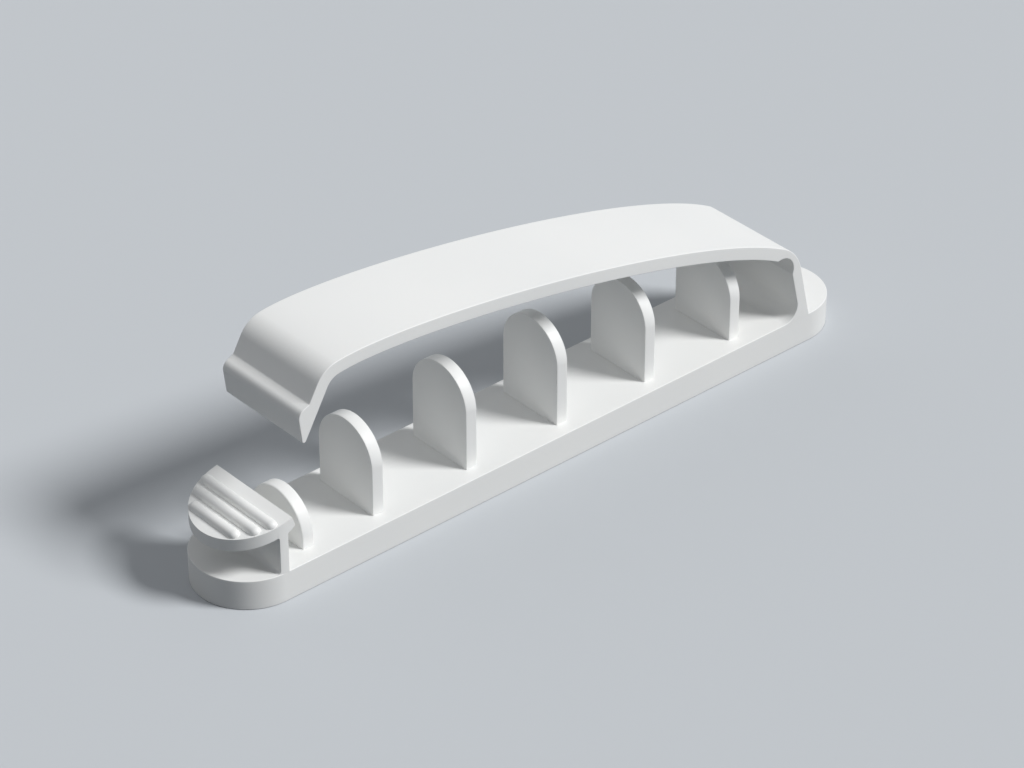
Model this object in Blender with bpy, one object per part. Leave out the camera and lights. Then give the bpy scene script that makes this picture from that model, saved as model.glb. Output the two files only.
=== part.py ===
"""Desk cable holder, moulded in one shot: a base with dividers, a strap and a thumb latch.

Metres, +Z up. X runs along the base, from the latch to the film hinge, and Y across it.
The origin is the middle of the base's underside. A side view is drawn in X and Z.
"""

import math

import bmesh
import bpy
from mathutils import Matrix, Vector
from mathutils.geometry import interpolate_bezier

# Base plate, a flat bar with full round ends
BASE_LENGTH = 0.0957
BASE_WIDTH = 0.0136
BASE_THICKNESS = 0.0039

# Upright dividers with round tops, evenly spaced between the guide fin and the end wall
DIVIDER_COUNT = 5
DIVIDER_WIDTH = 0.0096
DIVIDER_THICKNESS = 0.0016
FIRST_SLOT = 0.0085
LAST_SLOT = 0.0085

# The dividers' tops lie on a shallow arch
CROWN_HEIGHT = 0.01675
CROWN_X = -0.0005
CROWN_RADIUS = 0.1755

# Guide fin, which steers the hook into the catch
GUIDE_WIDTH = 0.0093
GUIDE_THICKNESS = 0.0016
GUIDE_HEIGHT = 0.00995
GUIDE_LEAD_IN = 0.0002
CATCH_SLOT = 0.0036

# End wall, which leans outwards towards its foot and carries the hinge
WALL_THICKNESS = 0.0015
WALL_LEAN = 13.3
WALL_FROM_END = 0.0071
WALL_FILLET = 0.0020

# Film hinge: a round notch in the inner corner leaves a thin web
HINGE_HEIGHT = 0.01375
HINGE_OUTER_RADIUS = 0.0060
NOTCH_RADIUS = 0.0021
FILM_THICKNESS = 0.00085

# Strap, drawn as it rests: one smooth arch from the shoulder above the hook to the hinge.
# A pull is how far the arch follows the slope it leaves with or arrives with
STRAP_THICKNESS = 0.0017
STRAP_STRAIGHT = 0.0032
STRAP_END_FALL = 27.8
STRAP_END_PULL = 0.0178
SHOULDER_HEIGHT = 0.0247
SHOULDER_RADIUS = 0.00385
SHOULDER_RISE = 9.0
SHOULDER_PULL = 0.0104
SHOULDER_SETBACK = 0.00863

# Hook: the strap's leg, with a wedge on its outer side
LEG_LEAN = 29.5
BARB_FROM_SHOULDER = 0.0023
BARB_DEPTH = 0.00105
BARB_SLOPE = 36.5
BARB_RADIUS = 0.0012
TIP_RADIUS = 0.0003

# Thumb latch: a thin riser with a catch lip and a sloping half-round pad
RISER_FROM_END = 0.00626
RISER_THICKNESS = 0.00111
RISER_PIVOT_HEIGHT = 0.0018
RISER_FILLET = 0.0005
PAD_HEIGHT = 0.01093
PAD_THICKNESS = 0.0015
PAD_SLOPE = 14.2
PAD_SETBACK = 0.0004
PAD_FILLET = 0.00025
LIP_REACH = 0.00105
LIP_DROP = 0.00125
LIP_LEAN = 0.0004
LIP_SLOPE = 31.0
LIP_RADIUS = 0.00025

# Grip ribs across the pad. Their ends lie on a circle a little larger than the pad's and beside it
RIB_COUNT = 3
RIB_PITCH = 0.00172
RIB_RADIUS = 0.0007
RIB_HEIGHT = 0.0006
FIRST_RIB = 0.0022
RIB_ENDS_GROWTH = 0.00005
RIB_ENDS_SETBACK = 0.00055

# Each line that flexes is parted by this gap
FLEX_GAP = 0.0003

# Depth to which a foot is sunk into what carries it, and how far a shape runs past what cuts it
SINK = 0.0010

# Facets
ARC_STEP = 7.5
ROUND_STEPS = 36
CURVE_POINTS = 28
RIB_SIDES = 20
RIB_RINGS = 11
SHARP_ANGLE = 30
TOUCH = 1e-6

PLASTIC_COLOUR = (0.90, 0.90, 0.89, 1.0)
PLASTIC_ROUGHNESS = 0.4

WORLD_ORIGIN = Vector((0, 0, 0))


def direction(degrees):
    """A unit vector in the side view, turned from +X towards +Z."""
    return Vector((math.cos(math.radians(degrees)), math.sin(math.radians(degrees))))


def angle_of(vector):
    """A side-view vector's angle in degrees."""
    return math.degrees(math.atan2(vector.y, vector.x))


def arc(centre, radius, start, end):
    """Points along an arc from one angle to the other, in degrees."""
    steps = max(2, math.ceil(abs(end - start) / ARC_STEP))
    return [centre + radius * direction(start + (end - start) * i / steps) for i in range(steps + 1)]


def short_arc(centre, start, end):
    """The shorter arc about a centre from one point to another at the same distance."""
    first = angle_of(start - centre)
    turn = (angle_of(end - centre) - first + 180) % 360 - 180
    return arc(centre, (start - centre).length, first, first + turn)


def rounded(before, corner, after, radius):
    """The arc that replaces a corner and touches both of its sides."""
    to_before = (before - corner).normalized()
    to_after = (after - corner).normalized()
    half = to_before.angle(to_after) / 2
    centre = corner + (to_before + to_after).normalized() * radius / math.sin(half)
    reach = radius / math.tan(half)
    return short_arc(centre, corner + to_before * reach, corner + to_after * reach)


def line_leaves_circle(point, along, centre, radius):
    """The last point of a circle that a line passes as it runs on."""
    foot = point + along * (centre - point).dot(along)
    return foot + along * math.sqrt(radius ** 2 - (centre - foot).length_squared)


def circles_meet(centre_a, radius_a, centre_b, radius_b, side):
    """Where two circles cross, on the side that a direction points to."""
    apart = centre_b - centre_a
    share = (apart.length_squared + radius_a ** 2 - radius_b ** 2) / (2 * apart.length_squared)
    across = Vector((-apart.y, apart.x)).normalized()
    rise = math.sqrt(radius_a ** 2 - (share * apart.length) ** 2)
    if across.dot(side) < 0:
        rise = -rise
    return centre_a + apart * share + across * rise


def offset_below(points, distance):
    """A run of points moved towards its right-hand side."""
    moved = []
    for i, point in enumerate(points):
        run = (points[min(i + 1, len(points) - 1)] - points[max(i - 1, 0)]).normalized()
        moved.append(point + Vector((run.y, -run.x)) * distance)
    return moved


# Places along the base
HALF_WIDTH = BASE_WIDTH / 2
LEFT_END = -BASE_LENGTH / 2
RIGHT_END = BASE_LENGTH / 2
RISER_X = LEFT_END + RISER_FROM_END + RISER_THICKNESS / 2
GUIDE_X = RISER_X + RISER_THICKNESS / 2 + CATCH_SLOT + GUIDE_THICKNESS / 2
SHOULDER = Vector((RISER_X + SHOULDER_SETBACK, SHOULDER_HEIGHT))

# The end wall's faces, and the corner where the strap's top would meet the outer one
WALL_UP = direction(90 + WALL_LEAN)
WALL_FOOT = Vector((RIGHT_END - WALL_FROM_END, BASE_THICKNESS))
WALL_INNER_FOOT = WALL_FOOT - Vector((WALL_THICKNESS / math.cos(math.radians(WALL_LEAN)), 0))
STRAP_BACK = direction(180 - STRAP_END_FALL)
CORNER = WALL_FOOT + WALL_UP * (HINGE_HEIGHT - BASE_THICKNESS) / WALL_UP.y

# The film hinge lies between the corner's outer arc and the notch
INWARDS = (STRAP_BACK - WALL_UP).normalized()
ROUND_CENTRE = CORNER + INWARDS * HINGE_OUTER_RADIUS / math.sin(STRAP_BACK.angle(-WALL_UP) / 2)
OUTER_SKIN = ROUND_CENTRE - INWARDS * HINGE_OUTER_RADIUS
NOTCH_CENTRE = OUTER_SKIN + INWARDS * (FILM_THICKNESS + NOTCH_RADIUS)
HINGE_NOSE = FILM_THICKNESS / 2
HINGE_AXIS = OUTER_SKIN + INWARDS * HINGE_NOSE

# The riser flexes about a line just above its foot
RISER_NOSE = RISER_THICKNESS / 2
LATCH_AXIS = Vector((RISER_X, BASE_THICKNESS + RISER_PIVOT_HEIGHT))

# The pad's inner edge, and the centre of its round end
PAD_EDGE_X = RISER_X + RISER_THICKNESS / 2 + LIP_REACH - LIP_LEAN
PAD_ROUND_X = LEFT_END + HALF_WIDTH + PAD_SETBACK


def strap_top():
    """The strap's upper line, from its shoulder to the straight stretch before the hinge."""
    start = SHOULDER + direction(90 + SHOULDER_RISE) * SHOULDER_RADIUS
    start_handle = start + direction(SHOULDER_RISE) * SHOULDER_PULL
    end = CORNER + STRAP_BACK * STRAP_STRAIGHT
    end_handle = end + STRAP_BACK * STRAP_END_PULL
    return interpolate_bezier(start, start_handle, end_handle, end, CURVE_POINTS)


def on_leg(down, out):
    """A point of the leg, measured down its inner face and outwards from it."""
    top = SHOULDER + direction(180 - LEG_LEAN) * (SHOULDER_RADIUS - STRAP_THICKNESS)
    return top + direction(270 - LEG_LEAN) * down + direction(180 - LEG_LEAN) * out


def hook_outline():
    """Side view of the leg, from its tip over the barb to below the shoulder."""
    slope = math.tan(math.radians(BARB_SLOPE))
    peak_down = BARB_FROM_SHOULDER + BARB_DEPTH / slope
    peak_out = STRAP_THICKNESS + BARB_DEPTH
    tip = on_leg(peak_down + peak_out / slope, 0)
    peak = on_leg(peak_down, peak_out)
    ledge = on_leg(BARB_FROM_SHOULDER, STRAP_THICKNESS)
    outline = rounded(on_leg(0, 0), tip, peak, TIP_RADIUS)
    outline += rounded(tip, peak, ledge, BARB_RADIUS)
    outline += rounded(peak, ledge, on_leg(0, STRAP_THICKNESS), TIP_RADIUS)
    return outline


def strap_outline():
    """Side view of the strap, from the hook's tip over the arch to the hinge and back under it."""
    top = strap_top()
    under = offset_below(top, STRAP_THICKNESS)
    cusp = line_leaves_circle(under[-1], STRAP_BACK, NOTCH_CENTRE, NOTCH_RADIUS)
    skin_start = ROUND_CENTRE + direction(90 - STRAP_END_FALL) * HINGE_OUTER_RADIUS
    skin_angle = angle_of(-INWARDS)
    film_inside = HINGE_AXIS + INWARDS * HINGE_NOSE
    outline = hook_outline()
    outline += arc(SHOULDER, SHOULDER_RADIUS, 180 - LEG_LEAN, 90 + SHOULDER_RISE)
    outline += top[1:]
    outline += short_arc(ROUND_CENTRE, skin_start, OUTER_SKIN)
    outline += arc(HINGE_AXIS, HINGE_NOSE, skin_angle, skin_angle - 180)[1:]
    outline += short_arc(NOTCH_CENTRE, film_inside, cusp)[1:]
    outline += reversed(under[1:])
    outline += arc(SHOULDER, SHOULDER_RADIUS - STRAP_THICKNESS, 90 + SHOULDER_RISE, 180 - LEG_LEAN)
    return outline


def end_wall():
    """Side view of the end wall, up to the hollow in which the hinge's nose turns and down again."""
    hollow = HINGE_NOSE + FLEX_GAP
    cusp = line_leaves_circle(WALL_INNER_FOOT, -WALL_UP, NOTCH_CENTRE, NOTCH_RADIUS)
    outer_rim = circles_meet(HINGE_AXIS, hollow, ROUND_CENTRE, HINGE_OUTER_RADIUS, -WALL_UP)
    inner_rim = circles_meet(HINGE_AXIS, hollow, NOTCH_CENTRE, NOTCH_RADIUS, -WALL_UP)
    skin_start = ROUND_CENTRE + direction(WALL_LEAN) * HINGE_OUTER_RADIUS
    floor_point = WALL_INNER_FOOT - Vector((BASE_WIDTH, 0))
    points = [WALL_FOOT]
    points += short_arc(ROUND_CENTRE, skin_start, outer_rim)
    points += short_arc(HINGE_AXIS, outer_rim, inner_rim)[1:]
    points += short_arc(NOTCH_CENTRE, inner_rim, cusp)[1:]
    points += rounded(cusp, WALL_INNER_FOOT, floor_point, WALL_FILLET)
    return points


def riser_foot():
    """Side view of the riser's foot, with a hollow in which the riser turns and a fillet."""
    left = RISER_X - RISER_THICKNESS / 2
    right = RISER_X + RISER_THICKNESS / 2
    hollow = RISER_NOSE + FLEX_GAP
    drop = math.sqrt(hollow ** 2 - RISER_NOSE ** 2)
    left_rim = Vector((left, LATCH_AXIS.y - drop))
    right_rim = Vector((right, LATCH_AXIS.y - drop))
    left_foot = Vector((left, BASE_THICKNESS))
    points = [Vector((right, BASE_THICKNESS))]
    points += short_arc(LATCH_AXIS, right_rim, left_rim)
    points += rounded(left_rim, left_foot, left_foot - Vector((BASE_WIDTH, 0)), RISER_FILLET)
    return points


def base_outline():
    """Side view of the base plate, run past its round ends, with the end wall and the riser's foot."""
    left = LEFT_END - SINK
    right = RIGHT_END + SINK
    outline = [Vector((left, 0)), Vector((right, 0)), Vector((right, BASE_THICKNESS))]
    outline += end_wall() + riser_foot()
    outline.append(Vector((left, BASE_THICKNESS)))
    return outline


def pad_top(x):
    """Height of the pad's sloping upper face."""
    return PAD_HEIGHT - (PAD_EDGE_X - x) * math.tan(math.radians(PAD_SLOPE))


def latch_outline():
    """Side view of the riser with its catch lip and its pad, the pad running past its round end."""
    left = RISER_X - RISER_THICKNESS / 2
    right = RISER_X + RISER_THICKNESS / 2
    far = LEFT_END - BASE_WIDTH
    fall = PAD_THICKNESS / math.cos(math.radians(PAD_SLOPE))
    upper = Vector((PAD_EDGE_X, PAD_HEIGHT))
    nose = Vector((right + LIP_REACH, PAD_HEIGHT - LIP_DROP))
    throat = Vector((right, nose.y - LIP_REACH * math.tan(math.radians(LIP_SLOPE))))
    under_left = Vector((left, pad_top(left) - fall))
    under_far = Vector((far, pad_top(far) - fall))
    outline = arc(LATCH_AXIS, RISER_NOSE, 180, 360)
    outline.append(throat)
    outline += rounded(throat, nose, upper, LIP_RADIUS)
    outline += [upper, Vector((far, pad_top(far))), under_far]
    outline += rounded(under_far, under_left, outline[0], PAD_FILLET)
    return outline


def half_round(x, side):
    """Plan of a full-width round end, whose centre is at X and which points to one side."""
    turns = [180 * i / ROUND_STEPS - 90 * side for i in range(ROUND_STEPS + 1)]
    return [Vector((x, 0)) + HALF_WIDTH * direction(turn) for turn in turns]


def fin_outline(width, height):
    """Front view of an upright fin with a full round top, its foot sunk into the base."""
    radius = width / 2
    foot = BASE_THICKNESS - SINK
    outline = [Vector((-radius, foot)), Vector((radius, foot))]
    outline += arc(Vector((0, height - radius)), radius, 0, 180)
    return outline


def solid_object(name, builder, origin):
    """An object from a bmesh, with outward faces and smooth round sides."""
    bmesh.ops.recalc_face_normals(builder, faces=builder.faces[:])
    mesh = bpy.data.meshes.new(name)
    builder.to_mesh(mesh)
    builder.free()
    mesh.shade_smooth()
    mesh.set_sharp_from_angle(angle=math.radians(SHARP_ANGLE))
    made = bpy.data.objects.new(name, mesh)
    made.location = origin
    bpy.context.collection.objects.link(made)
    return made


def swept(name, ring, along, origin=WORLD_ORIGIN):
    """A closed solid swept from a flat ring of corners, with its object's origin at a point."""
    builder = bmesh.new()
    face = builder.faces.new([builder.verts.new(corner - origin) for corner in ring])
    extruded = bmesh.ops.extrude_face_region(builder, geom=[face])
    far_side = [item for item in extruded["geom"] if isinstance(item, bmesh.types.BMVert)]
    bmesh.ops.translate(builder, verts=far_side, vec=along)
    return solid_object(name, builder, origin)


def across(name, outline, width, origin=WORLD_ORIGIN):
    """A side view swept over a width that is centred on the base."""
    ring = [Vector((point.x, -width / 2, point.y)) for point in outline]
    return swept(name, ring, Vector((0, width, 0)), origin)


def upright(name, plan):
    """A plan swept from below the base to above the latch and the end wall."""
    ring = [Vector((point.x, point.y, -SINK)) for point in plan]
    return swept(name, ring, Vector((0, 0, SHOULDER_HEIGHT)))


def fin(name, x, width, thickness, height):
    """An upright fin that stands across the base."""
    ring = [Vector((x - thickness / 2, point.x, point.y)) for point in fin_outline(width, height)]
    return swept(name, ring, Vector((thickness, 0, 0)))


def combine(target, tool, operation):
    """Join a tool to a solid, or keep only what the two share."""
    modifier = target.modifiers.new(tool.name, "BOOLEAN")
    modifier.operation = operation
    modifier.solver = "EXACT"
    modifier.object = tool
    tool.hide_render = True
    tool.display_type = "WIRE"


def lead_in(guide):
    """Chamfer the round edge of the guide fin that meets the hook."""
    face_x = GUIDE_X - GUIDE_THICKNESS / 2
    builder = bmesh.new()
    builder.from_mesh(guide.data)
    on_face = [vert for vert in builder.verts if abs(vert.co.x - face_x) < TOUCH]
    above = [vert for vert in on_face if vert.co.z > BASE_THICKNESS]
    rim = [edge for edge in builder.edges if all(vert in above for vert in edge.verts)]
    bmesh.ops.bevel(builder, geom=rim, offset=GUIDE_LEAD_IN, segments=1, affect="EDGES")
    builder.to_mesh(guide.data)
    builder.free()


def dividers():
    """The upright dividers between the cable slots."""
    first = GUIDE_X + GUIDE_THICKNESS / 2 + FIRST_SLOT + DIVIDER_THICKNESS / 2
    last = WALL_INNER_FOOT.x - LAST_SLOT - DIVIDER_THICKNESS / 2
    made = []
    for i in range(DIVIDER_COUNT):
        x = first + (last - first) * i / (DIVIDER_COUNT - 1)
        height = CROWN_HEIGHT - (x - CROWN_X) ** 2 / (2 * CROWN_RADIUS)
        made.append(fin(f"divider_{i + 1}", x, DIVIDER_WIDTH, DIVIDER_THICKNESS, height))
    return made


def build_base():
    """The base plate with its dividers, guide fin, end wall and the riser's foot."""
    centre = BASE_LENGTH / 2 - HALF_WIDTH
    plan = half_round(centre, 1) + half_round(-centre, -1)
    base = across("base", base_outline(), 2 * BASE_WIDTH)
    combine(base, upright("base_plan", plan), "INTERSECT")
    guide = fin("guide_fin", GUIDE_X, GUIDE_WIDTH, GUIDE_THICKNESS, GUIDE_HEIGHT)
    lead_in(guide)
    for feature in [guide] + dividers():
        combine(base, feature, "UNION")
    return base


def build_strap():
    """The strap with its hook, turning about the film hinge."""
    return across("strap", strap_outline(), BASE_WIDTH, HINGE_AXIS.to_3d().xzy)


def grip_rib(name, x):
    """A round-ended rib across the pad, part sunk into it."""
    end = math.sqrt((HALF_WIDTH + RIB_ENDS_GROWTH) ** 2 - (PAD_ROUND_X + RIB_ENDS_SETBACK - x) ** 2)
    stretch = end - RIB_RADIUS
    builder = bmesh.new()
    bmesh.ops.create_uvsphere(builder, u_segments=RIB_SIDES, v_segments=RIB_RINGS, radius=RIB_RADIUS)
    bmesh.ops.rotate(builder, verts=builder.verts, matrix=Matrix.Rotation(math.radians(90), 3, "X"))
    for vert in builder.verts:
        vert.co.y += math.copysign(stretch, vert.co.y)
    return solid_object(name, builder, Vector((x, 0, pad_top(x) + RIB_HEIGHT - RIB_RADIUS)))


def build_latch_tab():
    """The thumb latch: riser, catch lip, half-round pad and its ribs."""
    latch = across("latch_tab", latch_outline(), 2 * BASE_WIDTH, LATCH_AXIS.to_3d().xzy)
    inner_side = [Vector((GUIDE_X, -HALF_WIDTH)), Vector((GUIDE_X, HALF_WIDTH))]
    plan = upright("latch_tab_plan", inner_side + half_round(PAD_ROUND_X, -1))
    combine(latch, plan, "INTERSECT")
    for i in range(RIB_COUNT):
        combine(latch, grip_rib(f"grip_rib_{i + 1}", PAD_EDGE_X - FIRST_RIB - i * RIB_PITCH), "UNION")
    return latch


def moulded_plastic(name):
    """White polypropylene with the satin skin of a polished mould."""
    material = bpy.data.materials.new(name)
    material.use_nodes = True
    shader = material.node_tree.nodes["Principled BSDF"]
    shader.inputs["Base Color"].default_value = PLASTIC_COLOUR
    shader.inputs["Roughness"].default_value = PLASTIC_ROUGHNESS
    return material


def main():
    for old in list(bpy.data.objects):
        bpy.data.objects.remove(old, do_unlink=True)
    for piece in (build_base(), build_strap(), build_latch_tab()):
        piece.data.materials.append(moulded_plastic(f"{piece.name}_polypropylene"))


main()
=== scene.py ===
"""Cable holder in white moulded plastic, dressed for rendering on a pale floor.

The moulding's film hinge and the latch's riser are closed here.
X runs from the latch to the hinge, Y across the base and Z up. Sizes are in millimetres and
angles in degrees. Only the camera's place is in metres.
"""

import math

import bmesh
import bpy
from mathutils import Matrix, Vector
from mathutils.geometry import interpolate_bezier


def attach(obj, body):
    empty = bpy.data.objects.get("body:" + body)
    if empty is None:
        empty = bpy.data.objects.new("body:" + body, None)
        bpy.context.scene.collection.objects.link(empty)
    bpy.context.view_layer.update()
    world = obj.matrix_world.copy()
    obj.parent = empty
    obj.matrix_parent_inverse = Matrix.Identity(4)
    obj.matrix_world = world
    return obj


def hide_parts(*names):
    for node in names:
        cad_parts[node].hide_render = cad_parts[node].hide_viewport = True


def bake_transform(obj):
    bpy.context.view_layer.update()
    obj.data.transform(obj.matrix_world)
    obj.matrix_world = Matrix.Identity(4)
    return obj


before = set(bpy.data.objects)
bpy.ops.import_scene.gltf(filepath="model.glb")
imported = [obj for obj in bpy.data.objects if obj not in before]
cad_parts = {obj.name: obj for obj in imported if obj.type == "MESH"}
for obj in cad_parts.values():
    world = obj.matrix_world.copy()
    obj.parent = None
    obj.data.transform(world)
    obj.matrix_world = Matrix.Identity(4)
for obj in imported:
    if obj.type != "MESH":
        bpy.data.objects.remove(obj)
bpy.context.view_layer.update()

MM = 0.001

# Base plate
BASE_LENGTH = 95.7
BASE_WIDTH = 13.6
BASE_THICKNESS = 3.9

# Dividers and the guide fin
DIVIDER_COUNT = 5
DIVIDER_WIDTH = 9.6
DIVIDER_THICKNESS = 1.6
FIRST_SLOT = 8.5
LAST_SLOT = 8.5
CROWN_HEIGHT = 16.75
CROWN_X = -0.5
CROWN_RADIUS = 175.5
GUIDE_WIDTH = 9.3
GUIDE_THICKNESS = 1.6
GUIDE_HEIGHT = 9.95
GUIDE_LEAD_IN = 0.2
CATCH_SLOT = 3.6

# End wall, film hinge and strap
WALL_THICKNESS = 1.5
WALL_LEAN = 13.3
WALL_FROM_END = 7.1
WALL_FILLET = 2.0
HINGE_HEIGHT = 13.75
HINGE_OUTER_RADIUS = 6.0
NOTCH_RADIUS = 2.1
FILM_THICKNESS = 0.85
STRAP_THICKNESS = 1.7
STRAP_STRAIGHT = 3.2
STRAP_END_FALL = 27.8
STRAP_END_PULL = 17.8
SHOULDER_HEIGHT = 24.7
SHOULDER_RADIUS = 3.85
SHOULDER_RISE = 9.0
SHOULDER_PULL = 10.4
SHOULDER_SETBACK = 8.63

# Hook
LEG_LEAN = 29.5
BARB_FROM_SHOULDER = 2.3
BARB_DEPTH = 1.05
BARB_SLOPE = 36.5
BARB_RADIUS = 1.2
TIP_RADIUS = 0.3
CUSP_RADIUS = 0.25

# Thumb latch
RISER_FROM_END = 6.26
RISER_THICKNESS = 1.11
RISER_FILLET = 0.5
PAD_HEIGHT = 10.93
PAD_THICKNESS = 1.5
PAD_SLOPE = 14.2
PAD_SETBACK = 0.4
PAD_FILLET = 0.25
LIP_REACH = 1.05
LIP_DROP = 1.25
LIP_LEAN = 0.4
LIP_SLOPE = 31.0
LIP_RADIUS = 0.25
RIB_COUNT = 3
RIB_PITCH = 1.72
RIB_RADIUS = 0.7
RIB_HEIGHT = 0.6
FIRST_RIB = 2.2
RIB_ENDS_GROWTH = 0.05
RIB_ENDS_SETBACK = 0.55

# Edges as the mould leaves them, and the rounding of a swept piece's low and high rims
EDGE_RADIUS = 0.09
EDGE_STEPS = 4
SOFT_RIMS = (EDGE_RADIUS, EDGE_RADIUS)
SHARP_RIMS = (0, 0)

# A foot is sunk into the base. One that is flush with the base's side goes only so deep that
# its own rounded rim fills the base's rim
SINK = 1.0
FLUSH_SINK = 2 * EDGE_RADIUS

# Facets. The notch gives up a few points at either end to the rounding of its cusp, and two
# points that are nearer than the last of these sizes are one
ARC_STEP = 3.0
FEWEST_ARC_STEPS = 3
ROUND_STEPS = 60
CURVE_POINTS = 72
RISER_STEPS = 12
CUSP_POINTS = 3
RIB_SIDES = 28
RIB_RINGS = 21
SAME_PLACE = 0.0001

# An edge of more than the first angle is shaded as one, and one of the latch's edges of more
# than the second is rounded
SHOWN_EDGE = 50
ROUNDED_EDGE = 40
FLAT_FACE_WEIGHT = 100

# Moulded polypropylene. A pattern's spacing is the size of its patches, and its detail the
# number of finer layers that lie on them
DULLER_WHITE = "#E9EAE9"
BRIGHTER_WHITE = "#F1F1EF"
DRIFT_SPACING = 20.0
POLISH_SPACING = 3.85
SMOOTHEST = 0.36
ROUGHEST = 0.50
GRAIN_SPACING = 0.25
GRAIN_DEPTH = 0.02
GRAIN_STRENGTH = 0.12
REFRACTIVE_INDEX = 1.49
SPECULAR_LEVEL = 0.28
SCATTER_SHARE = 0.12
SCATTER_BY_COLOUR = (1.0, 0.95, 0.9)
SCATTER_REACH = 0.6
COARSE_DETAIL = 2.0
FINE_DETAIL = 4.0

# Floor and backdrop
FLOOR_REACH = 4000.0
FLOOR_DROP = 0.02
FLOOR_ROUGHNESS = 0.8
FLOOR_SEEN = "#C3C7CB"
FLOOR_BOUNCE = "#565C62"
BACKDROP_SEEN = "#CCD0D4"
BACKDROP_STRENGTH = 1.0
AROUND_COLOUR = "#DDE0E4"
AROUND_STRENGTH = 0.32

# Lamps: where each one shines from, how wide it is and how strong
KEY_LAMP = ((0.62, -0.80, 1.0), 18, 3.0)
FILL_LAMP = ((-0.4, 0.75, 0.6), 60, 0.28)

# Camera
SENSOR_WIDTH = 36.0
FOCAL_LENGTH = 140.03
FRAME_SHIFT = (-0.0014, 0.0318)
NEAREST_SEEN = 10.0
CAMERA_PLACE = (-0.2577, -0.2932, 0.2661)
CAMERA_TILT = 56.046
CAMERA_TURN = -41.158

# Sockets of a Mix node that is set to colours, and the attribute that a copied shape carries
MIX_SHARE, MIX_FIRST, MIX_SECOND, MIX_RESULT = 0, 6, 7, 2
SHIFT = "shift"


def direction(degrees):
    """A unit vector in a side view, turned from +X towards +Z."""
    return Vector((math.cos(math.radians(degrees)), math.sin(math.radians(degrees))))


def angle_of(vector):
    """A vector's angle in degrees."""
    return math.degrees(math.atan2(vector.y, vector.x))


def arc(centre, radius, start, end):
    """Points along an arc from one angle to the other, in degrees."""
    steps = max(FEWEST_ARC_STEPS, math.ceil(abs(end - start) / ARC_STEP))
    turns = [start + (end - start) * i / steps for i in range(steps + 1)]
    return [centre + radius * direction(turn) for turn in turns]


def short_arc(centre, start, end):
    """The shorter arc about a centre from one point to another at the same distance."""
    first = angle_of(start - centre)
    turn = (angle_of(end - centre) - first + 180) % 360 - 180
    return arc(centre, (start - centre).length, first, first + turn)


def rounded(before, corner, after, radius):
    """The arc that replaces a corner and touches both of its sides."""
    to_before = (before - corner).normalized()
    to_after = (after - corner).normalized()
    half = to_before.angle(to_after) / 2
    centre = corner + (to_before + to_after).normalized() * radius / math.sin(half)
    reach = radius / math.tan(half)
    return short_arc(centre, corner + to_before * reach, corner + to_after * reach)


def line_leaves_circle(point, along, centre, radius):
    """The last point of a circle that a line passes as it runs on."""
    foot = point + along * (centre - point).dot(along)
    return foot + along * math.sqrt(radius ** 2 - (centre - foot).length_squared)


def offset_below(points, distance):
    """A run of points moved towards its right-hand side."""
    moved = []
    for i, point in enumerate(points):
        run = (points[min(i + 1, len(points) - 1)] - points[max(i - 1, 0)]).normalized()
        moved.append(point + Vector((run.y, -run.x)) * distance)
    return moved


# Places along the base
HALF_WIDTH = BASE_WIDTH / 2
LEFT_END = -BASE_LENGTH / 2
RIGHT_END = BASE_LENGTH / 2
RISER_LEFT = LEFT_END + RISER_FROM_END
RISER_RIGHT = RISER_LEFT + RISER_THICKNESS
RISER_X = (RISER_LEFT + RISER_RIGHT) / 2
GUIDE_X = RISER_RIGHT + CATCH_SLOT + GUIDE_THICKNESS / 2
SHOULDER = Vector((RISER_X + SHOULDER_SETBACK, SHOULDER_HEIGHT))

# End wall and film hinge
WALL_UP = direction(90 + WALL_LEAN)
WALL_FOOT = Vector((RIGHT_END - WALL_FROM_END, BASE_THICKNESS))
WALL_INNER_FOOT = WALL_FOOT - Vector((WALL_THICKNESS / math.cos(math.radians(WALL_LEAN)), 0))
STRAP_BACK = direction(180 - STRAP_END_FALL)
CORNER = WALL_FOOT + WALL_UP * (HINGE_HEIGHT - BASE_THICKNESS) / WALL_UP.y
INWARDS = (STRAP_BACK - WALL_UP).normalized()
HALF_CORNER = STRAP_BACK.angle(-WALL_UP) / 2
ROUND_CENTRE = CORNER + INWARDS * HINGE_OUTER_RADIUS / math.sin(HALF_CORNER)
OUTER_SKIN = ROUND_CENTRE - INWARDS * HINGE_OUTER_RADIUS
NOTCH_CENTRE = OUTER_SKIN + INWARDS * (FILM_THICKNESS + NOTCH_RADIUS)
NOTCH_FLOOR = NOTCH_CENTRE - INWARDS * NOTCH_RADIUS

# Latch
PAD_EDGE_X = RISER_RIGHT + LIP_REACH - LIP_LEAN
PAD_ROUND_X = LEFT_END + HALF_WIDTH + PAD_SETBACK


def strap_top():
    """The strap's upper line, from its shoulder to the straight stretch before the hinge."""
    start = SHOULDER + direction(90 + SHOULDER_RISE) * SHOULDER_RADIUS
    start_handle = start + direction(SHOULDER_RISE) * SHOULDER_PULL
    end = CORNER + STRAP_BACK * STRAP_STRAIGHT
    end_handle = end + STRAP_BACK * STRAP_END_PULL
    return interpolate_bezier(start, start_handle, end_handle, end, CURVE_POINTS)


def on_leg(down, out):
    """A point of the leg, measured down its inner face and outwards from it."""
    top = SHOULDER + direction(180 - LEG_LEAN) * (SHOULDER_RADIUS - STRAP_THICKNESS)
    return top + direction(270 - LEG_LEAN) * down + direction(180 - LEG_LEAN) * out


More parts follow.
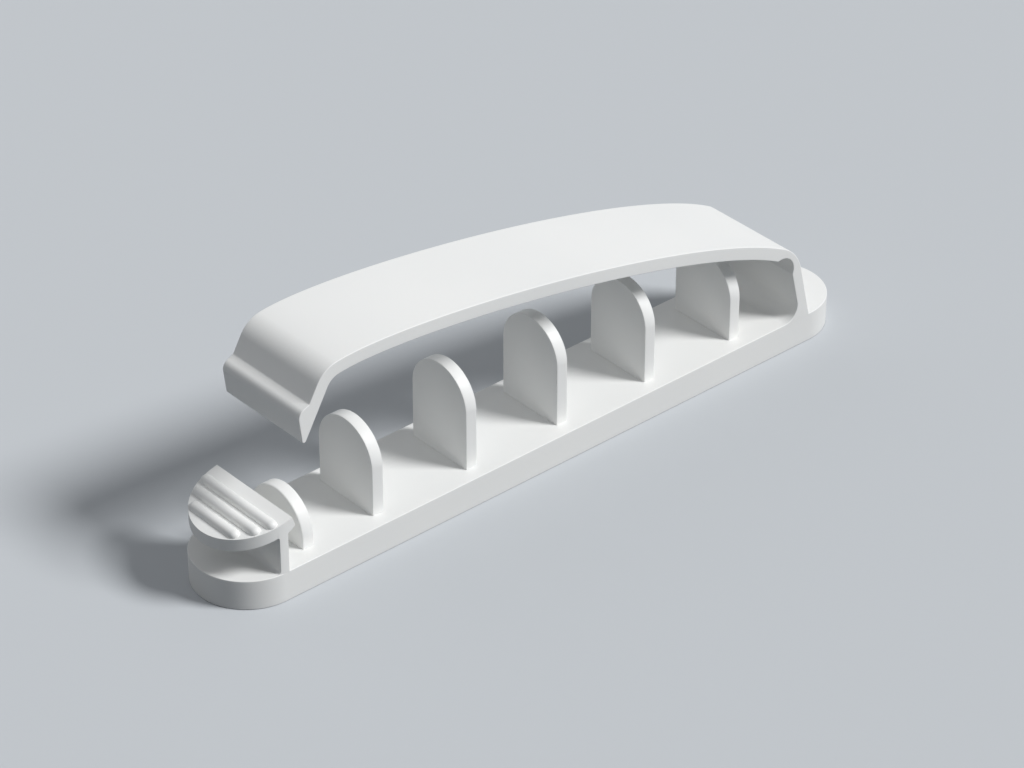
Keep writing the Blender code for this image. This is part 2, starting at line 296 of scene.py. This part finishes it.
def hook_outline():
    """Side view of the leg, from its tip over the barb to below the shoulder."""
    slope = math.tan(math.radians(BARB_SLOPE))
    peak_down = BARB_FROM_SHOULDER + BARB_DEPTH / slope
    peak_out = STRAP_THICKNESS + BARB_DEPTH
    tip = on_leg(peak_down + peak_out / slope, 0)
    peak = on_leg(peak_down, peak_out)
    ledge = on_leg(BARB_FROM_SHOULDER, STRAP_THICKNESS)
    outline = rounded(on_leg(0, 0), tip, peak, TIP_RADIUS)
    outline += rounded(tip, peak, ledge, BARB_RADIUS)
    outline += rounded(peak, ledge, on_leg(0, STRAP_THICKNESS), TIP_RADIUS)
    return outline


def strap_and_wall_outline():
    """Side view of the end wall, the film hinge and the strap as the one moulding they are."""
    top = strap_top()
    under = offset_below(top, STRAP_THICKNESS)
    strap_cusp = line_leaves_circle(under[-1], STRAP_BACK, NOTCH_CENTRE, NOTCH_RADIUS)
    wall_cusp = line_leaves_circle(WALL_INNER_FOOT, -WALL_UP, NOTCH_CENTRE, NOTCH_RADIUS)
    skin_start = ROUND_CENTRE + direction(90 - STRAP_END_FALL) * HINGE_OUTER_RADIUS
    skin_end = ROUND_CENTRE + direction(WALL_LEAN) * HINGE_OUTER_RADIUS
    notch = short_arc(NOTCH_CENTRE, wall_cusp, NOTCH_FLOOR)
    notch += short_arc(NOTCH_CENTRE, NOTCH_FLOOR, strap_cusp)[1:]
    outline = hook_outline()
    outline += arc(SHOULDER, SHOULDER_RADIUS, 180 - LEG_LEAN, 90 + SHOULDER_RISE)
    outline += top[1:]
    outline += short_arc(ROUND_CENTRE, skin_start, skin_end)
    outline += [WALL_FOOT, WALL_FOOT - Vector((0, FLUSH_SINK))]
    along_base = WALL_INNER_FOOT - Vector((BASE_WIDTH, 0))
    fillet = rounded(wall_cusp, WALL_INNER_FOOT, along_base, WALL_FILLET)
    outline += [fillet[-1] - Vector((0, FLUSH_SINK))] + fillet[::-1]
    outline += rounded(WALL_INNER_FOOT, wall_cusp, notch[CUSP_POINTS - 1], CUSP_RADIUS)
    outline += notch[CUSP_POINTS:-CUSP_POINTS]
    outline += rounded(notch[-CUSP_POINTS], strap_cusp, under[-1], CUSP_RADIUS)
    outline += reversed(under[1:])
    inner_radius = SHOULDER_RADIUS - STRAP_THICKNESS
    outline += arc(SHOULDER, inner_radius, 90 + SHOULDER_RISE, 180 - LEG_LEAN)
    return outline


def pad_top(x):
    """Height of the pad's sloping upper face."""
    return PAD_HEIGHT - (PAD_EDGE_X - x) * math.tan(math.radians(PAD_SLOPE))


def riser_side(x, start, end):
    """Points up or down one side of the riser, close enough for it to bend smoothly."""
    heights = [start + (end - start) * i / RISER_STEPS for i in range(RISER_STEPS + 1)]
    return [Vector((x, height)) for height in heights]


def latch_outline():
    """Side view of the riser from its fillet to the lip, and of the pad past its round end."""
    far = LEFT_END - BASE_WIDTH
    fall = PAD_THICKNESS / math.cos(math.radians(PAD_SLOPE))
    upper = Vector((PAD_EDGE_X, PAD_HEIGHT))
    nose = Vector((RISER_RIGHT + LIP_REACH, PAD_HEIGHT - LIP_DROP))
    throat = Vector((RISER_RIGHT, nose.y - LIP_REACH * math.tan(math.radians(LIP_SLOPE))))
    under_left = Vector((RISER_LEFT, pad_top(RISER_LEFT) - fall))
    under_far = Vector((far, pad_top(far) - fall))
    left_foot = Vector((RISER_LEFT, BASE_THICKNESS))
    along_base = left_foot - Vector((BASE_WIDTH, 0))
    fillet = rounded(under_left, left_foot, along_base, RISER_FILLET)
    sunk = BASE_THICKNESS - FLUSH_SINK
    outline = [Vector((fillet[-1].x, sunk)), Vector((RISER_RIGHT, sunk))]
    outline += riser_side(RISER_RIGHT, BASE_THICKNESS, throat.y)
    outline += rounded(throat, nose, upper, LIP_RADIUS)
    outline += [upper, Vector((far, pad_top(far))), under_far]
    outline += rounded(under_far, under_left, left_foot, PAD_FILLET)
    outline += riser_side(RISER_LEFT, outline[-1].y, fillet[0].y)
    outline += fillet
    return outline


def half_round(x, side):
    """Plan of a full-width round end, whose centre is at X and which points to one side."""
    turns = [180 * i / ROUND_STEPS - 90 * side for i in range(ROUND_STEPS + 1)]
    return [Vector((x, 0)) + HALF_WIDTH * direction(turn) for turn in turns]


def fin_outline(width, height):
    """Front view of an upright fin with a full round top, its foot sunk into the base."""
    radius = width / 2
    sunk = BASE_THICKNESS - SINK
    outline = [Vector((-radius, sunk)), Vector((radius, sunk))]
    outline += arc(Vector((0, height - radius)), radius, 0, 180)
    return outline


def without_doubles(outline):
    """An outline that turns anticlockwise and has no two points in one place."""
    steps = [(point - outline[i - 1]).length for i, point in enumerate(outline)]
    kept = [point for point, step in zip(outline, steps) if step > SAME_PLACE]
    turned = sum(kept[i - 1].cross(point) for i, point in enumerate(kept))
    return kept if turned > 0 else kept[::-1]


def inset(outline, distance):
    """An outline moved inwards by a distance."""
    moved = []
    for i, point in enumerate(outline):
        before = (point - outline[i - 1]).normalized()
        after = (outline[(i + 1) % len(outline)] - point).normalized()
        left_before = Vector((-before.y, before.x))
        left_after = Vector((-after.y, after.x))
        share = 1 + left_before.dot(left_after)
        moved.append(point + (left_before + left_after) * distance / share)
    return moved


def side_view(point, level):
    """Places a side view's point in space, at a distance across the base."""
    return Vector((point.x, level, point.y))


def front_view(point, level):
    """Places a front view's point in space, at a distance along the base."""
    return Vector((level, point.x, point.y))


def plan_view(point, level):
    """Places a plan's point in space, at a height."""
    return Vector((point.x, point.y, level))


def new_object(name, data):
    """An object in the scene for a mesh, a lamp or a lens."""
    made = bpy.data.objects.new(name, data)
    bpy.context.scene.collection.objects.link(made)
    return made


def object_from(name, builder, material):
    """A smooth-shaded object from a bmesh drawn in millimetres."""
    bmesh.ops.recalc_face_normals(builder, faces=builder.faces[:])
    bmesh.ops.scale(builder, vec=Vector((MM, MM, MM)), verts=builder.verts[:])
    mesh = bpy.data.meshes.new(name)
    builder.to_mesh(mesh)
    builder.free()
    mesh.shade_smooth()
    mesh.materials.append(material)
    return new_object(name, mesh)


def rim(radius):
    """A rounded rim's steps, from its flat face outwards, as distances inwards and down."""
    if not radius:
        return [(0, 0)]
    turns = [math.radians(90 * i / EDGE_STEPS) for i in range(EDGE_STEPS + 1)]
    return [(radius * (1 - math.sin(turn)), radius * (1 - math.cos(turn))) for turn in turns]


def soft_prism(name, outline, levels, rims, place, material):
    """A closed solid swept from a low to a high level, each with its own rounding of the rim."""
    outline = without_doubles(outline)
    low, high = levels
    steps = [(inwards, low + depth) for inwards, depth in rim(rims[0])]
    steps += [(inwards, high - depth) for inwards, depth in reversed(rim(rims[1]))]
    builder = bmesh.new()
    rings = []
    for inwards, level in steps:
        points = [place(point, level) for point in inset(outline, inwards)]
        rings.append([builder.verts.new(point) for point in points])
    for lower, upper in zip(rings, rings[1:]):
        for i in range(len(lower)):
            builder.faces.new((lower[i - 1], lower[i], upper[i], upper[i - 1]))
    builder.faces.new(rings[0])
    builder.faces.new(rings[-1])
    return object_from(name, builder, material)


def applied(made):
    """The object as its modifiers make it, with none of them left on it."""
    bpy.context.view_layer.update()
    evaluated = made.evaluated_get(bpy.context.evaluated_depsgraph_get())
    mesh = bpy.data.meshes.new_from_object(evaluated)
    made.modifiers.clear()
    made.data = mesh
    return made


def settled(made):
    """The object with its modifiers applied and its flat faces shaded flat."""
    made.data.set_sharp_from_angle(angle=math.radians(SHOWN_EDGE))
    weighted = made.modifiers.new("flat_faces", "WEIGHTED_NORMAL")
    weighted.keep_sharp = True
    weighted.weight = FLAT_FACE_WEIGHT
    return applied(made)


def add_node(tree, kind, settings=None, inputs=None):
    """A node with its settings and inputs. An input is a value, the socket that feeds it, or a
    node whose first socket does."""
    node = tree.nodes.new(kind)
    for name, value in (settings or {}).items():
        setattr(node, name, value)
    for name, value in (inputs or {}).items():
        if isinstance(value, bpy.types.Node):
            value = value.outputs[0]
        if isinstance(value, bpy.types.NodeSocket):
            tree.links.new(value, node.inputs[name])
        else:
            node.inputs[name].default_value = value
    return node


def from_hex(colour):
    """A colour written as sRGB hex, in linear light."""
    channels = [int(colour[i : i + 2], 16) / 255 for i in (1, 3, 5)]
    linear = [c / 12.92 if c <= 0.04045 else ((c + 0.055) / 1.055) ** 2.4 for c in channels]
    return linear + [1.0]


def moulded_polypropylene():
    """White polypropylene, injection moulded: satin, faintly grained, and light sinks in a little."""
    material = bpy.data.materials.new("moulded_polypropylene")
    material.use_nodes = True
    tree = material.node_tree
    tree.nodes.clear()
    place = add_node(tree, "ShaderNodeTexCoord").outputs["Object"]
    # The melt cools unevenly, so the white drifts a little over 20 mm or so
    drift = add_node(
        tree,
        "ShaderNodeTexNoise",
        inputs={"Vector": place, "Scale": 1 / (DRIFT_SPACING * MM), "Detail": COARSE_DETAIL},
    )
    colour = add_node(
        tree,
        "ShaderNodeMix",
        {"data_type": "RGBA"},
        {
            MIX_SHARE: drift.outputs["Fac"],
            MIX_FIRST: from_hex(DULLER_WHITE),
            MIX_SECOND: from_hex(BRIGHTER_WHITE),
        },
    )
    # Handling and the mould's polish vary the gloss over about 4 mm
    polish = add_node(
        tree,
        "ShaderNodeTexNoise",
        inputs={"Vector": place, "Scale": 1 / (POLISH_SPACING * MM), "Detail": FINE_DETAIL},
    )
    gloss = add_node(
        tree,
        "ShaderNodeMapRange",
        inputs={"Value": polish.outputs["Fac"], "To Min": SMOOTHEST, "To Max": ROUGHEST},
    )
    # Spark-eroded grain, about 0.1 mm across on the mould, drawn at 0.25 mm so that it shows
    grain = add_node(
        tree,
        "ShaderNodeTexNoise",
        inputs={"Vector": place, "Scale": 1 / (GRAIN_SPACING * MM), "Detail": COARSE_DETAIL},
    )
    bump = add_node(
        tree,
        "ShaderNodeBump",
        inputs={
            "Height": grain.outputs["Fac"],
            "Strength": GRAIN_STRENGTH,
            "Distance": GRAIN_DEPTH * MM,
        },
    )
    shader = add_node(
        tree,
        "ShaderNodeBsdfPrincipled",
        inputs={
            "Base Color": colour.outputs[MIX_RESULT],
            "Roughness": gloss.outputs["Result"],
            "Normal": bump.outputs["Normal"],
            "IOR": REFRACTIVE_INDEX,
            "Specular IOR Level": SPECULAR_LEVEL,
            "Subsurface Weight": SCATTER_SHARE,
            "Subsurface Radius": SCATTER_BY_COLOUR,
            "Subsurface Scale": SCATTER_REACH * MM,
        },
    )
    add_node(tree, "ShaderNodeOutputMaterial", inputs={"Surface": shader})
    return material


def seen(tree):
    """One for a ray from the eye, also by way of a mirror or glass, and nought for any other."""
    ray = add_node(tree, "ShaderNodeLightPath").outputs
    direct = add_node(
        tree,
        "ShaderNodeMath",
        {"operation": "MAXIMUM"},
        {0: ray["Is Camera Ray"], 1: ray["Is Glossy Ray"]},
    )
    return add_node(
        tree, "ShaderNodeMath", {"operation": "MAXIMUM"}, {0: direct, 1: ray["Is Transmission Ray"]}
    )


def pale_floor():
    """A matt sheet, pale to the eye and to mirrors. The light it throws back is a dark grey's."""
    material = bpy.data.materials.new("pale_floor")
    material.use_nodes = True
    tree = material.node_tree
    colour = add_node(
        tree,
        "ShaderNodeMix",
        {"data_type": "RGBA"},
        {
            MIX_SHARE: seen(tree),
            MIX_FIRST: from_hex(FLOOR_BOUNCE),
            MIX_SECOND: from_hex(FLOOR_SEEN),
        },
    )
    shader = tree.nodes["Principled BSDF"]
    shader.inputs["Roughness"].default_value = FLOOR_ROUGHNESS
    tree.links.new(colour.outputs[MIX_RESULT], shader.inputs["Base Color"])
    return material


def new_tree(name, sizes):
    """An empty Geometry Nodes tree with named number inputs, and the sockets that give them."""
    tree = bpy.data.node_groups.new(name, "GeometryNodeTree")
    tree.interface.new_socket("Geometry", in_out="OUTPUT", socket_type="NodeSocketGeometry")
    for size, value in sizes.items():
        kind = "NodeSocketInt" if isinstance(value, int) else "NodeSocketFloat"
        tree.interface.new_socket(size, in_out="INPUT", socket_type=kind).default_value = value
    return tree, add_node(tree, "NodeGroupInput").outputs


def copies(tree, line, shape, amount):
    """The shape at each point of a line, as real geometry, and the field of an amount that each
    copy carries."""
    marked = add_node(
        tree,
        "GeometryNodeStoreNamedAttribute",
        {"data_type": "FLOAT", "domain": "POINT"},
        {"Geometry": line, "Name": SHIFT, "Value": amount},
    )
    row = add_node(
        tree, "GeometryNodeInstanceOnPoints", inputs={"Points": marked, "Instance": shape}
    )
    real = add_node(tree, "GeometryNodeRealizeInstances", inputs={"Geometry": row})
    carried = add_node(
        tree, "GeometryNodeInputNamedAttribute", {"data_type": "FLOAT"}, {"Name": SHIFT}
    )
    return real, carried.outputs["Attribute"]


def from_tree(name, tree, geometry, material):
    """Runs a tree that ends in this geometry, and keeps the result as a plain mesh."""
    real = add_node(tree, "GeometryNodeRealizeInstances", inputs={"Geometry": geometry})
    painted = add_node(
        tree, "GeometryNodeSetMaterial", inputs={"Geometry": real, "Material": material}
    )
    add_node(tree, "NodeGroupOutput", inputs={"Geometry": painted})
    made = new_object(name, bpy.data.meshes.new(name))
    made.modifiers.new(name, "NODES").node_group = tree
    applied(made)
    made.data.attributes.remove(made.data.attributes[SHIFT])
    return made


def dividers(material):
    """The upright dividers: one fin repeated along the base, its top lifted onto the arch."""
    half = DIVIDER_THICKNESS / 2
    first = GUIDE_X + GUIDE_THICKNESS / 2 + FIRST_SLOT + half
    last = WALL_INNER_FOOT.x - LAST_SLOT - half
    outline = fin_outline(DIVIDER_WIDTH, CROWN_HEIGHT)
    fin = soft_prism("divider_fin", outline, (-half, half), SOFT_RIMS, front_view, material)
    sizes = {
        "Count": DIVIDER_COUNT,
        "First": first * MM,
        "Pitch": (last - first) / (DIVIDER_COUNT - 1) * MM,
        "Crown X": CROWN_X * MM,
        "Crown Diameter": 2 * CROWN_RADIUS * MM,
        "Foot": BASE_THICKNESS * MM,
    }
    tree, size = new_tree("divider_row", sizes)
    start = add_node(tree, "ShaderNodeCombineXYZ", inputs={"X": size["First"]})
    step = add_node(tree, "ShaderNodeCombineXYZ", inputs={"X": size["Pitch"]})
    line = add_node(
        tree,
        "GeometryNodeMeshLine",
        inputs={"Count": size["Count"], "Start Location": start, "Offset": step},
    )
    position = add_node(tree, "GeometryNodeInputPosition")
    place = add_node(tree, "ShaderNodeSeparateXYZ", inputs={0: position}).outputs
    away = add_node(
        tree, "ShaderNodeMath", {"operation": "SUBTRACT"}, {0: place["X"], 1: size["Crown X"]}
    )
    square = add_node(tree, "ShaderNodeMath", {"operation": "MULTIPLY"}, {0: away, 1: away})
    fall = add_node(
        tree, "ShaderNodeMath", {"operation": "DIVIDE"}, {0: square, 1: size["Crown Diameter"]}
    )
    rise = add_node(tree, "ShaderNodeMath", {"operation": "MULTIPLY"}, {0: fall, 1: -1.0})
    shape = add_node(tree, "GeometryNodeObjectInfo", inputs={"Object": fin})
    row, shift = copies(tree, line, shape.outputs["Geometry"], rise)
    above = add_node(
        tree, "ShaderNodeMath", {"operation": "GREATER_THAN"}, {0: place["Z"], 1: size["Foot"]}
    )
    lift = add_node(tree, "ShaderNodeCombineXYZ", inputs={"Z": shift})
    moved = add_node(
        tree,
        "GeometryNodeSetPosition",
        inputs={"Geometry": row, "Selection": above, "Offset": lift},
    )
    made = from_tree("dividers", tree, moved, material)
    bpy.data.objects.remove(fin)
    return made


def grip_ribs(material):
    """The pad's grip ribs: round-ended rods, each as long as the pad is wide at its place."""
    first_x = PAD_EDGE_X - FIRST_RIB
    slope = math.tan(math.radians(PAD_SLOPE))
    sizes = {
        "Count": RIB_COUNT,
        "First X": first_x * MM,
        "First Z": (pad_top(first_x) + RIB_HEIGHT - RIB_RADIUS) * MM,
        "Pitch": RIB_PITCH * MM,
        "Fall": RIB_PITCH * slope * MM,
        "Radius": RIB_RADIUS * MM,
        "Ends X": (PAD_ROUND_X + RIB_ENDS_SETBACK) * MM,
        "Ends Radius": (HALF_WIDTH + RIB_ENDS_GROWTH) * MM,
    }
    tree, size = new_tree("grip_rib_row", sizes)
    start = add_node(
        tree, "ShaderNodeCombineXYZ", inputs={"X": size["First X"], "Z": size["First Z"]}
    )
    back = add_node(tree, "ShaderNodeMath", {"operation": "MULTIPLY"}, {0: size["Pitch"], 1: -1.0})
    down = add_node(tree, "ShaderNodeMath", {"operation": "MULTIPLY"}, {0: size["Fall"], 1: -1.0})
    step = add_node(tree, "ShaderNodeCombineXYZ", inputs={"X": back, "Z": down})
    line = add_node(
        tree,
        "GeometryNodeMeshLine",
        inputs={"Count": size["Count"], "Start Location": start, "Offset": step},
    )
    position = add_node(tree, "GeometryNodeInputPosition")
    place = add_node(tree, "ShaderNodeSeparateXYZ", inputs={0: position}).outputs
    away = add_node(
        tree, "ShaderNodeMath", {"operation": "SUBTRACT"}, {0: place["X"], 1: size["Ends X"]}
    )
    away_square = add_node(tree, "ShaderNodeMath", {"operation": "MULTIPLY"}, {0: away, 1: away})
    ends_square = add_node(
        tree,
        "ShaderNodeMath",
        {"operation": "MULTIPLY"},
        {0: size["Ends Radius"], 1: size["Ends Radius"]},
    )
    end_square = add_node(
        tree, "ShaderNodeMath", {"operation": "SUBTRACT"}, {0: ends_square, 1: away_square}
    )
    end = add_node(tree, "ShaderNodeMath", {"operation": "SQRT"}, {0: end_square})
    reach = add_node(
        tree, "ShaderNodeMath", {"operation": "SUBTRACT"}, {0: end, 1: size["Radius"]}
    )
    ball = add_node(
        tree,
        "GeometryNodeMeshUVSphere",
        inputs={"Segments": RIB_SIDES, "Rings": RIB_RINGS, "Radius": size["Radius"]},
    )
    lying = add_node(
        tree,
        "GeometryNodeTransform",
        inputs={"Geometry": ball, "Rotation": (math.radians(90), 0, 0)},
    )
    row, shift = copies(tree, line, lying.outputs["Geometry"], reach)
    side = add_node(tree, "ShaderNodeMath", {"operation": "SIGN"}, {0: place["Y"]})
    outwards = add_node(tree, "ShaderNodeMath", {"operation": "MULTIPLY"}, {0: side, 1: shift})
    pull = add_node(tree, "ShaderNodeCombineXYZ", inputs={"Y": outwards})
    moved = add_node(tree, "GeometryNodeSetPosition", inputs={"Geometry": row, "Offset": pull})
    smooth = add_node(tree, "GeometryNodeSetShadeSmooth", inputs={"Geometry": moved})
    return from_tree("grip_ribs", tree, smooth, material)


def base_plate(material):
    """The flat bar with full round ends."""
    centre = BASE_LENGTH / 2 - HALF_WIDTH
    plan = half_round(centre, 1) + half_round(-centre, -1)
    return soft_prism("base_plate", plan, (0, BASE_THICKNESS), SOFT_RIMS, plan_view, material)


def guide_fin(material):
    """The low fin beside the latch. Its rim is rounder on the side where the hook slides past."""
    outline = fin_outline(GUIDE_WIDTH, GUIDE_HEIGHT)
    levels = (GUIDE_X - GUIDE_THICKNESS / 2, GUIDE_X + GUIDE_THICKNESS / 2)
    rims = (GUIDE_LEAD_IN, EDGE_RADIUS)
    return soft_prism("guide_fin", outline, levels, rims, front_view, material)


def strap(material):
    """The end wall, film hinge and strap, swept over the base's width."""
    outline = strap_and_wall_outline()
    levels = (-HALF_WIDTH, HALF_WIDTH)
    return soft_prism("strap_and_wall", outline, levels, SOFT_RIMS, side_view, material)


def thumb_latch(material):
    """The riser, lip and pad as one moulding, cut to the pad's half-round plan."""
    levels = (-BASE_WIDTH, BASE_WIDTH)
    latch = soft_prism("thumb_latch", latch_outline(), levels, SHARP_RIMS, side_view, material)
    inner_side = [Vector((GUIDE_X, -HALF_WIDTH)), Vector((GUIDE_X, HALF_WIDTH))]
    plan = inner_side + half_round(PAD_ROUND_X, -1)
    levels = (0, 2 * PAD_HEIGHT)
    cutter = soft_prism("latch_plan", plan, levels, SHARP_RIMS, plan_view, material)
    cut = latch.modifiers.new("plan", "BOOLEAN")
    cut.operation = "INTERSECT"
    cut.solver = "EXACT"
    cut.object = cutter
    rims = latch.modifiers.new("rims", "BEVEL")
    rims.limit_method = "ANGLE"
    rims.angle_limit = math.radians(ROUNDED_EDGE)
    rims.width = EDGE_RADIUS * MM
    rims.segments = EDGE_STEPS
    made = settled(latch)
    bpy.data.objects.remove(cutter)
    return made


def distant_lamp(name, place, width, strength):
    """A lamp that is as strong at every place of the floor and shines in one direction."""
    lamp = bpy.data.lights.new(name, "SUN")
    lamp.angle = math.radians(width)
    lamp.energy = strength
    made = new_object(name, lamp)
    made.location = place
    made.rotation_euler = (-Vector(place)).to_track_quat("-Z", "Y").to_euler()


def pale_world():
    """Soft light from all round, in front of a backdrop as pale as the floor."""
    world = bpy.data.worlds.new("pale_world")
    world.use_nodes = True
    tree = world.node_tree
    tree.nodes.clear()
    around = add_node(
        tree,
        "ShaderNodeBackground",
        inputs={"Color": from_hex(AROUND_COLOUR), "Strength": AROUND_STRENGTH},
    )
    backdrop = add_node(
        tree,
        "ShaderNodeBackground",
        inputs={"Color": from_hex(BACKDROP_SEEN), "Strength": BACKDROP_STRENGTH},
    )
    both = add_node(tree, "ShaderNodeMixShader", inputs={0: seen(tree), 1: around, 2: backdrop})
    add_node(tree, "ShaderNodeOutputWorld", inputs={"Surface": both})
    return world


def studio():
    """Pale floor and world, one lamp from the front right and a weak broad one from behind."""
    builder = bmesh.new()
    bmesh.ops.create_grid(builder, x_segments=1, y_segments=1, size=FLOOR_REACH)
    floor = object_from("floor", builder, pale_floor())
    floor.location.z = -FLOOR_DROP * MM
    distant_lamp("key", *KEY_LAMP)
    distant_lamp("fill", *FILL_LAMP)
    bpy.context.scene.world = pale_world()
    bpy.context.scene.view_settings.view_transform = "Standard"


def camera():
    """The photograph's viewpoint."""
    lens = bpy.data.cameras.new("camera")
    lens.sensor_width = SENSOR_WIDTH
    lens.lens = FOCAL_LENGTH
    lens.shift_x, lens.shift_y = FRAME_SHIFT
    lens.clip_start = NEAREST_SEEN * MM
    made = new_object("camera", lens)
    made.location = CAMERA_PLACE
    made.rotation_euler = (math.radians(CAMERA_TILT), 0, math.radians(CAMERA_TURN))
    bpy.context.scene.camera = made


def dress():
    """Every piece, standing for its part of the frame. The plate, dividers, guide fin and ribs ride
    on their bodies.
    """
    white = moulded_polypropylene()
    plate = settled(base_plate(white))
    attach(plate, "base")
    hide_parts("base")
    row = settled(dividers(white))
    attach(row, "base")
    guide = settled(guide_fin(white))
    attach(guide, "base")
    arch = settled(strap(white))
    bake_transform(arch)
    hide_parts("strap")
    latch = thumb_latch(white)
    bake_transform(latch)
    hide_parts("latch_tab")
    ribs = grip_ribs(white)
    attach(ribs, "latch_tab")


studio()
camera()
dress()
